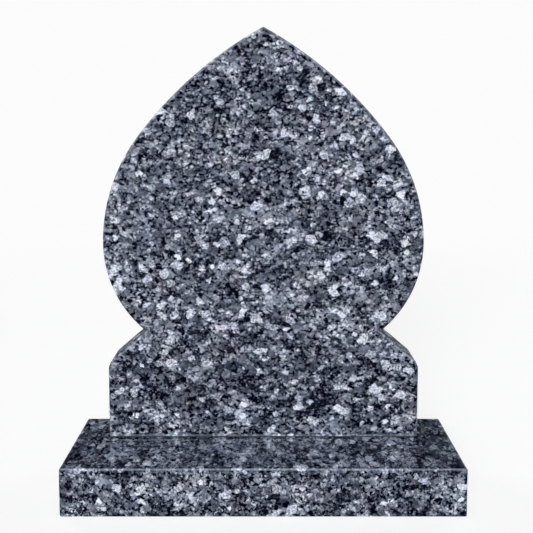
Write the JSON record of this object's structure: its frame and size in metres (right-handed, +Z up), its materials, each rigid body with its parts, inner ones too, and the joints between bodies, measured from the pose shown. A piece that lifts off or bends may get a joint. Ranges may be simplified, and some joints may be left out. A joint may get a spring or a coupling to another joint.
{
  "type": "islamic headstone",
  "caption": "Polished granite headstone: an onion-dome tablet with pinched neck and sloping shoulders, bedded upright on a plain rectangular base.",
  "frame": {"origin": "middle of the base's underside", "axes": "+X across the face to the right seen from the front, +Y from the face to the back, +Z up"},
  "size_m": [0.762, 0.305, 0.919],
  "materials": {
    "granite": "high polish, blue-grey larvikite with silvery feldspar crystals",
    "setting_compound": "dark grey setting compound, matt",
    "steel": "plain stainless bar"
  },
  "bodies": {
    "root": {"tablet": "granite", "base": "granite", "bed_joint": "setting_compound", "dowel_left": "steel", "dowel_right": "steel"}
  },
  "joints": []
}
